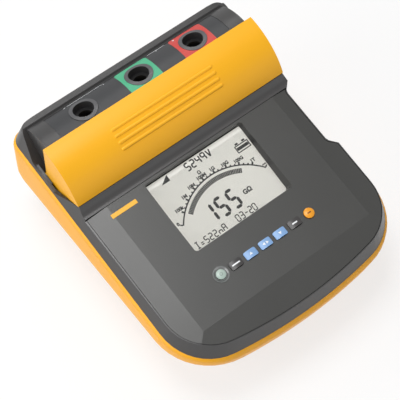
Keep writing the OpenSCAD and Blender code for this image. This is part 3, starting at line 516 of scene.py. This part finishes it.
# Each reading: the left and front edge, width and height of its first character, the pitch of
# the characters, the width of their strokes, and how far each stroke's end is cut back, in
# widths of the stroke.
READINGS = {
    "155": (-22.0, -61.9, 6.9, 17.2, 12.6, 2.8, 0.05),
    "5249V": (-11.0, -10.0, 3.7, 7.3, 5.85, 1.4, 0.0),
    "I=522nA": (-47.0, -72.9, 3.1, 6.2, 4.9, 1.0, 0.0),
    "03-20": (-2.5, -73.1, 3.1, 6.4, 4.6, 1.0, 0.0),
}
SCALE_CENTRE = (2.5, -83.1)
LINE_INNER, LINE_OUTER, LINE_LEFT, LINE_RIGHT = 58.2, 59.5, -53.6, 51.5
BAR_INNER, BAR_OUTER, BAR_LEFT, BAR_RIGHT = 51.3, 55.8, -42, 29.7
BAR_CELLS, BAR_FILL = 44, 0.86
TICK_FOOT, TICK_LONG, TICK_SHORT = 59.2, 61.8, 60.6
TICK_FIRST, TICK_STEP, TICK_COUNT = -41.8, 11.6, 8
TICK_WIDE_HALF, TICK_THIN_HALF = 0.8, 0.6
TICKS_BETWEEN = (0.35, 0.68)
TICKS_AT_ENDS = (-53.4, 51.3)
LABEL_SIZE, LABEL_WEIGHT = 4.4, 0.26
LABELS = (
    ("0", -48.1, -44.8), ("100k", -39.2, -34.3), ("1M", -28.4, -27.4), ("10M", -17.5, -23.1),
    ("100M", -4.6, -20.6), ("1G", 7.6, -20.2), ("10G", 19.9, -22.8), ("100G", 32.5, -26.7),
    ("1T", 42.9, -34.2), ("∞", 49.2, -43.3), ("Ω", -3.8, -16.4),
)
UNIT, UNIT_PLACE, UNIT_SIZE, UNIT_WEIGHT = "GΩ", (21.6, -54.2), 6.0, 0.3

# The strokes of the battery sign, from x, y to x, y, and each stroke's width.
BATTERY_SIGN = (
    (37.4, -18.6, 49.8, -18.6, 3.0), (36.4, -15.4, 50.8, -15.4, 1.0),
    (36.4, -21.8, 50.8, -21.8, 1.0), (36.8, -15.4, 36.8, -21.8, 1.0),
    (50.4, -15.4, 50.4, -21.8, 1.0), (38.2, -13.7, 41.4, -13.7, 1.8),
    (45.6, -13.7, 48.8, -13.7, 1.8),
)
WEDGE_SIGN = ((-38.3, -7.7), (-29.3, -7.9), (-29.3, -1.6))


def merged(parts, name):
    """Joins loose shapes into one piece."""
    bpy.ops.object.select_all(action="DESELECT")
    for part in parts:
        part.select_set(True)
    bpy.context.view_layer.objects.active = parts[0]
    bpy.ops.object.join()
    piece = bpy.context.object
    piece.name = name
    piece.data.name = name
    return piece


def outlined(points):
    """A flat shape with these corners, run against the clock."""
    bpy.ops.mesh.primitive_circle_add(vertices=len(points), radius=1, fill_type="NGON")
    shape = bpy.context.object
    for vertex, (x, y) in zip(shape.data.vertices, points):
        vertex.co = (x, y, 0)
    return shape


def bar(x0, y0, x1, y1, width, point=BLUNT):
    """A stroke from one point to another; its ends are mitred at 1 and nearly square at 0.1."""
    end, side = math.hypot(x1 - x0, y1 - y0) / 2, width / 2
    shoulder = end - point * width / 2
    stroke = outlined([(shoulder, side), (-shoulder, side), (-end, 0),
                       (-shoulder, -side), (shoulder, -side), (end, 0)])
    turn = Matrix.Rotation(math.atan2(y1 - y0, x1 - x0), 4, "Z")
    stroke.data.transform(Matrix.Translation(((x0 + x1) / 2, (y0 + y1) / 2, 0)) @ turn)
    return stroke


def reading(text, left, front, wide, high, pitch, width, gap):
    """A row of segment characters."""
    made = []
    for i, letter in enumerate(text):
        for key in LETTERS[letter]:
            (ax, ay), (bx, by) = STROKES[key]
            x0, y0 = left + i * pitch + ax * wide, front + ay * high / 2
            x1, y1 = left + i * pitch + bx * wide, front + by * high / 2
            cut = gap * width / math.hypot(x1 - x0, y1 - y0)
            across, up = (x1 - x0) * cut, (y1 - y0) * cut
            made.append(bar(x0 + across, y0 + up, x1 - across, y1 - up, width, point=1.0))
    return made


def word(text, x, y, size, weight):
    """A short printed text, made a mesh and centred on x, y."""
    bpy.ops.object.text_add(location=(0, 0, 0))
    label = bpy.context.object
    label.data.body = text
    label.data.size = size
    label.data.align_x = "CENTER"
    label.data.align_y = "CENTER"
    label.data.offset = weight
    label.data.resolution_u = 3
    only(label)
    bpy.ops.object.convert(target="MESH")
    label = bpy.context.object
    label.data.transform(Matrix.Translation((x, y, 0)))
    return label


def arc_band(centre, inner, outer, start, end, steps=1):
    """A flat band about a centre, between two radii and two angles."""
    bpy.ops.mesh.primitive_grid_add(x_subdivisions=steps, y_subdivisions=1, size=1)
    band = bpy.context.object
    for vertex in band.data.vertices:
        angle = math.radians(start + (end - start) * (vertex.co.x + 0.5))
        radius = inner + (outer - inner) * (vertex.co.y + 0.5)
        vertex.co = (centre[0] + radius * math.sin(angle), centre[1] + radius * math.cos(angle), 0)
    return band


def tick(angle, half, end):
    """A mark of the scale, as wide as twice this half."""
    return arc_band(SCALE_CENTRE, TICK_FOOT, end, angle - half, angle + half)


shapes = []
for text, sizes in READINGS.items():
    shapes += reading(text, *sizes)
shapes.append(arc_band(SCALE_CENTRE, LINE_INNER, LINE_OUTER, LINE_LEFT, LINE_RIGHT, 60))
cell = (BAR_RIGHT - BAR_LEFT) / BAR_CELLS
for i in range(BAR_CELLS):
    start = BAR_LEFT + cell * i
    shapes.append(arc_band(SCALE_CENTRE, BAR_INNER, BAR_OUTER, start, start + BAR_FILL * cell, 2))
for i in range(TICK_COUNT):
    angle = TICK_FIRST + TICK_STEP * i
    shapes.append(tick(angle, TICK_WIDE_HALF, TICK_LONG))
    if i < TICK_COUNT - 1:
        for part in TICKS_BETWEEN:
            shapes.append(tick(angle + TICK_STEP * part, TICK_THIN_HALF, TICK_SHORT))
for angle in TICKS_AT_ENDS:
    shapes.append(tick(angle, TICK_THIN_HALF, TICK_LONG))
for text, x, y in LABELS:
    shapes.append(word(text, x, y, LABEL_SIZE, LABEL_WEIGHT))
shapes.append(word(UNIT, *UNIT_PLACE, UNIT_SIZE, UNIT_WEIGHT))
for stroke in BATTERY_SIGN:
    shapes.append(bar(*stroke))
shapes.append(outlined(WEDGE_SIGN))
ink = moulded("liquid_crystal_segment", linear(46, 46, 45), rough=0.6, grain=0.02, spread=0.03,
              sheen=0.2)
symbols = merged(shapes, "display_symbols")
symbols.data.transform(LCD_FRAME)
dress(symbols, ink)
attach(symbols, "housing")


# The display's border: matt black ink printed on the back of the window, round the picture.
# It hides the edge of the liquid crystal cell. Its strip along the rear edge is also painted
# shadow, where the recess's rear wall shades the top of the picture.
EDGE_LEFT, EDGE_RIGHT, EDGE_FRONT, EDGE_REAR = -50.9, 52.3, -74.3, -1.1
BORDER, BORDER_RIGHT, BORDER_LIFT = 2.6, 1.4, 0.02
SQUARE = 0.001
border_front = EDGE_FRONT - BORDER
border_sides = (
    (EDGE_LEFT - BORDER, border_front, EDGE_LEFT, 0),
    (EDGE_RIGHT, border_front, EDGE_RIGHT + BORDER_RIGHT, 0),
    (EDGE_LEFT, border_front, EDGE_RIGHT, EDGE_FRONT),
    # The rear strip: printed border and painted shadow under the recess's rear wall.
    (EDGE_LEFT, EDGE_REAR, EDGE_RIGHT, 0),
)
strips = []
for x0, y0, x1, y1 in border_sides:
    middle = (y0 + y1) / 2
    strips.append(bar(x0, middle, x1, middle, y1 - y0, SQUARE))
border = merged(strips, "display_border")
border.data.transform(LCD_FRAME @ Matrix.Translation((0, 0, BORDER_LIFT)))
border_black = moulded("border_black", linear(30, 30, 30), rough=0.6, grain=0.02, spread=0.03,
                       sheen=0.2)
dress(border, border_black)
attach(border, "housing")


# The keys: moulded caps that stand through the panel on the rubber mat, with painted shade on
# the sides. The crown of a bar key is curved across it, and the two round keys are domed. Sizes
# are in millimetres: the radius of the crown and the height of its top above the panel.
KEY_PITCH, KEY_ROW = 16.2, -75.6
POWER_WIDTH, TEST_WIDTH, DOME = 9.1, 9.8, 1.2
BAR_CROWN, BAR_TOP = 18.6, 1.6
POWER_CROWN, TEST_CROWN, TEST_TOP = DOME * POWER_WIDTH, DOME * TEST_WIDTH, 2.4
SIDE_SHADE_START, SIDE_SHADE_FULL = 0.2, 0.35
KEY_CORNER = 0.00022
SIGN_LIFT, SIGN_CUTS = 0.05, 5
ARROW_HALF, ARROW_BASE, ARROW_TIP = 1.6, 1.1, 1.5
SIDE_ARROW_HALF, SIDE_ARROW_BASE, SIDE_ARROW_TIP = 1.5, 0.7, 3.3

# The plain bars on three keys: half their length, and their width.
KEY_BARS = {"function_key": (4.2, 1.3), "enter_key": (2.7, 1.3), "test_button": (1.9, 1.1)}

# The sign on the power key: the radii, angles and steps of its arc, and the ends and the width
# of its stroke.
POWER_ARC, POWER_STROKE = (1.1, 1.55, 35, 325, 24), (0, 0.4, 0, 1.9, 0.45)

# Each top colour, then the painted shade for the sides of those keys.
BLUE, BLUE_SIDE_SHADE = linear(132, 170, 216), linear(38, 66, 112)
CHARCOAL, CHARCOAL_SIDE_SHADE = linear(60, 58, 58), linear(24, 22, 23)

# Each key: its place in the row, its slot, the name of its plastic, the colour of its top, and
# the painted shade on its sides.
KEYS = {
    "power_button": (-3, "power_key", "power_key_cap", linear(172, 190, 181), linear(62, 74, 68)),
    "function_key": (-2, "dark_key", "function_key_cap", CHARCOAL, CHARCOAL_SIDE_SHADE),
    "up_key": (-1, "blue_key", "up_key_cap", BLUE, BLUE_SIDE_SHADE),
    "left_right_key": (0, "blue_key", "left_right_key_cap", BLUE, BLUE_SIDE_SHADE),
    "down_key": (1, "blue_key", "down_key_cap", BLUE, BLUE_SIDE_SHADE),
    "enter_key": (2, "dark_key", "enter_key_cap", CHARCOAL, CHARCOAL_SIDE_SHADE),
    "test_button": (3, "orange_key", "test_key_cap", linear(238, 158, 36), linear(150, 84, 18)),
}

# The crown's radius and top, and whether the key is round.
ROUND_KEYS = {
    "power_button": (POWER_CROWN, BAR_TOP, True),
    "test_button": (TEST_CROWN, TEST_TOP, True),
}
BAR_KEY = (BAR_CROWN, BAR_TOP, False)


def shaded_side_key(name, x, colour, side_shade, crown, top, round_cap):
    """A key cap: glossy moulded top, and painted shade on the sides where the cap drops below its
    crown.
    """
    material = moulded(name, colour, rough=0.32, grain=0.05)
    shade = Shade(material.node_tree)
    place = shade.node("TexCoord", out="Object")
    tilt_sin, tilt_cos = math.sin(PANEL_TILT), math.cos(PANEL_TILT)
    row = KEY_ROW / 1000
    centre = (x / 1000, row, panel_level(row))
    reach = shade.node("VectorMath", {"operation": "SUBTRACT"}, {0: place, 1: centre})
    across, along, above = (
        shade.node("VectorMath", {"operation": "DOT_PRODUCT"}, {0: reach, 1: axis}, out=1) * 1000
        for axis in ((1, 0, 0), (0, tilt_cos, tilt_sin), (0, -tilt_sin, tilt_cos)))
    far = across * across + along * along if round_cap else across * across
    dome = (top - crown) + shade.maths("SQRT", crown ** 2 - far)
    # Painted shade: the sides below the crown take the darker colour.
    painted(shade, ramp(shade, dome - above, SIDE_SHADE_START, SIDE_SHADE_FULL), side_shade)
    return material


def key_sign(node, shapes, finish):
    """Prints shapes on a key: they are laid on its crown, a little proud."""
    crown, top, round_cap = ROUND_KEYS.get(node, BAR_KEY)
    sign = merged(shapes, node + "_sign")
    bpy.ops.object.mode_set(mode="EDIT")
    bpy.ops.mesh.select_all(action="SELECT")
    bpy.ops.mesh.quads_convert_to_tris()
    bpy.ops.mesh.subdivide(number_cuts=SIGN_CUTS)
    bpy.ops.object.mode_set(mode="OBJECT")
    for vertex in sign.data.vertices:
        far = vertex.co.x ** 2 + (vertex.co.y ** 2 if round_cap else 0)
        vertex.co.z = top - crown + math.sqrt(crown ** 2 - far) + SIGN_LIFT
    place = (KEYS[node][0] * KEY_PITCH, KEY_ROW, 1000 * panel_level(KEY_ROW / 1000))
    sign.data.transform(Matrix.Scale(0.001, 4) @ Matrix.Translation(place)
                        @ Matrix.Rotation(PANEL_TILT, 4, "X"))
    dress(sign, finish)
    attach(sign, node)


for node, (place, slot, plastic, colour, side_shade) in KEYS.items():
    finish = shaded_side_key(plastic, place * KEY_PITCH, colour, side_shade, *ROUND_KEYS.get(node, BAR_KEY))
    softened(node, node + "_cap", node, finish, KEY_CORNER, steps=3)

print_white = moulded("key_print_white", linear(235, 238, 240), rough=0.5, grain=0.05, spread=0.03)
print_dark = moulded("key_print_dark", linear(120, 66, 20), rough=0.5, grain=0.05, spread=0.03)
print_grey = moulded("key_print_grey", linear(118, 132, 126), rough=0.5, grain=0.05, spread=0.03)
up_arrow = outlined([(-ARROW_HALF, -ARROW_BASE), (ARROW_HALF, -ARROW_BASE), (0, ARROW_TIP)])
key_sign("up_key", [up_arrow], print_white)
left_arrow = outlined([(-SIDE_ARROW_TIP, 0), (-SIDE_ARROW_BASE, -SIDE_ARROW_HALF),
                       (-SIDE_ARROW_BASE, SIDE_ARROW_HALF)])
right_arrow = outlined([(SIDE_ARROW_TIP, 0), (SIDE_ARROW_BASE, SIDE_ARROW_HALF),
                        (SIDE_ARROW_BASE, -SIDE_ARROW_HALF)])
key_sign("left_right_key", [left_arrow, right_arrow], print_white)
down_arrow = outlined([(-ARROW_HALF, ARROW_BASE), (0, -ARROW_TIP), (ARROW_HALF, ARROW_BASE)])
key_sign("down_key", [down_arrow], print_white)
for node, (half, width) in KEY_BARS.items():
    print_ink = print_dark if node == "test_button" else print_white
    key_sign(node, [bar(-half, 0, half, 0, width)], print_ink)
key_sign("power_button", [arc_band((0, 0), *POWER_ARC), bar(*POWER_STROKE)], print_grey)


# The dish around the power key and the mat under all the keys: the dish is plastic with a
# polished coat, let into the panel, and the mat is one sheet of silicone rubber with domes.
def rubbery(name, colour):
    """Moulded rubber: matt, dusty in its pores."""
    material, shade = new_finish(name)
    place = shade.node("TexCoord", out="Object")
    dust = noise(shade, place, 260.0, 5.0)
    body = blend(shade, dust, toned(colour, 0.8), toned(colour, 1.35))
    skin = shade.node("Bump", sockets={"Strength": 0.3, "Distance": 0.0001, "Height": dust})
    soft = shade.node("BsdfPrincipled", sockets={
        "Base Color": body, "Roughness": 0.8 + (dust - 0.5) * 0.15, "Normal": skin,
        "Specular IOR Level": 0.25})
    shade.node("OutputMaterial", sockets={"Surface": soft})
    return material


dish = moulded("ring_gloss_grey", linear(84, 87, 86), rough=0.16, grain=0.02, sheen=1.0, coat=1.0)
dress(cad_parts["power_ring"], dish)
mat = rubbery("keypad_rubber", linear(90, 90, 92))
dress(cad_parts["keypad_mat"], mat)


# The plain marks on the terminal plate: a minus, a plus and thin lines that join the sockets,
# printed in white ink. Each stroke runs from x, y to x, y and has its width, in millimetres.
LINE_BACK, LINE_FRONT = 17.0, 14.6
PLATE_MARKS = (
    (-71.5, 16.5, -69.3, 16.5, 0.7), (-67.6, LINE_BACK, -29.8, LINE_BACK, 0.5),
    (-28.7, LINE_BACK, -28.7, LINE_FRONT, 0.5), (20.0, LINE_BACK, 39.0, LINE_BACK, 0.5),
    (29.5, LINE_BACK, 29.5, LINE_FRONT, 0.5),
)
PLUS_MARK = ((46.6, 14.6, 48.8, 14.6, 0.7), (47.7, 13.5, 47.7, 15.7, 0.7))
MARK_LIFT = 0.00008
marks = merged([bar(*stroke) for stroke in PLATE_MARKS], "terminal_marks")
on_plate(marks, MARK_LIFT)
plus = merged([bar(*stroke) for stroke in PLUS_MARK], "plus_mark")
on_plate(plus, FIELD_LIFT + MARK_LIFT)
for mark in (marks, plus):
    dress(mark, print_white)
    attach(mark, "housing")


# The small fittings: rubber feet and the rubber cover of the leads, pins, screws and a battery
# strap of zinc-plated steel, and the charging inlet and deep red data window set in the barrel.
foot = rubbery("foot_rubber", linear(40, 40, 41))
for node in ("rubber_feet", "socket_leads"):
    dress(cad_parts[node], foot)
steel = metal("zinc_steel", (0.55, 0.55, 0.57, 1), 0.34)
for node in ("shutter_pins", "case_screws", "board_screws", "clamp_screws", "battery_clamp"):
    dress(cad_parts[node], steel)
dress(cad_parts["mains_inlet"], black)
ruby = moulded("infrared_acrylic", linear(70, 8, 14), rough=0.12, grain=0.02)
dress(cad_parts["infrared_window"], ruby)


# The parts inside: green circuit boards with black parts and a buzzer on them, the converter
# cast in dark resin, and the battery in its grey plastic case.
board = moulded("board_solder_mask", linear(40, 110, 62), rough=0.32, grain=0.1)
for node in ("key_board", "main_board", "power_supply"):
    dress(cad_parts[node], board)
for node in ("board_parts", "buzzer"):
    dress(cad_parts[node], black)
potting = moulded("potting_resin", linear(32, 32, 34), rough=0.3, grain=0.1)
dress(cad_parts["high_voltage_module"], potting)
battery = moulded("battery_case", linear(70, 72, 78), rough=0.5)
dress(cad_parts["battery_pack"], battery)


# The badge plate: a small bare plate of amber plastic with broken edges, glued to the panel
# on the left of the display's recess.
BADGE_SIZE = (0.0268, 0.0042, 0.0004)
BADGE_X, BADGE_Y, BADGE_LIFT = -0.0805, 0.0201, 0.0001
BADGE_CORNER = 0.00015
bpy.ops.object.select_all(action="DESELECT")
bpy.ops.mesh.primitive_cube_add(size=1)
badge = bpy.context.object
badge.name = "badge_plate"
badge.data.name = "badge_plate"
badge.scale = BADGE_SIZE
bpy.ops.object.transform_apply(scale=True)
edge = badge.modifiers.new("rounded", "BEVEL")
edge.width = BADGE_CORNER
edge.segments = 2
bpy.ops.object.modifier_apply(modifier=edge.name)
badge_place = Matrix.Translation((BADGE_X, BADGE_Y, panel_level(BADGE_Y) + BADGE_LIFT))
badge.data.transform(badge_place @ Matrix.Rotation(PANEL_TILT, 4, "X"))
amber = moulded("badge_amber", linear(240, 178, 40), rough=0.35, grain=0.02)
dress(badge, amber)
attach(badge, "housing")
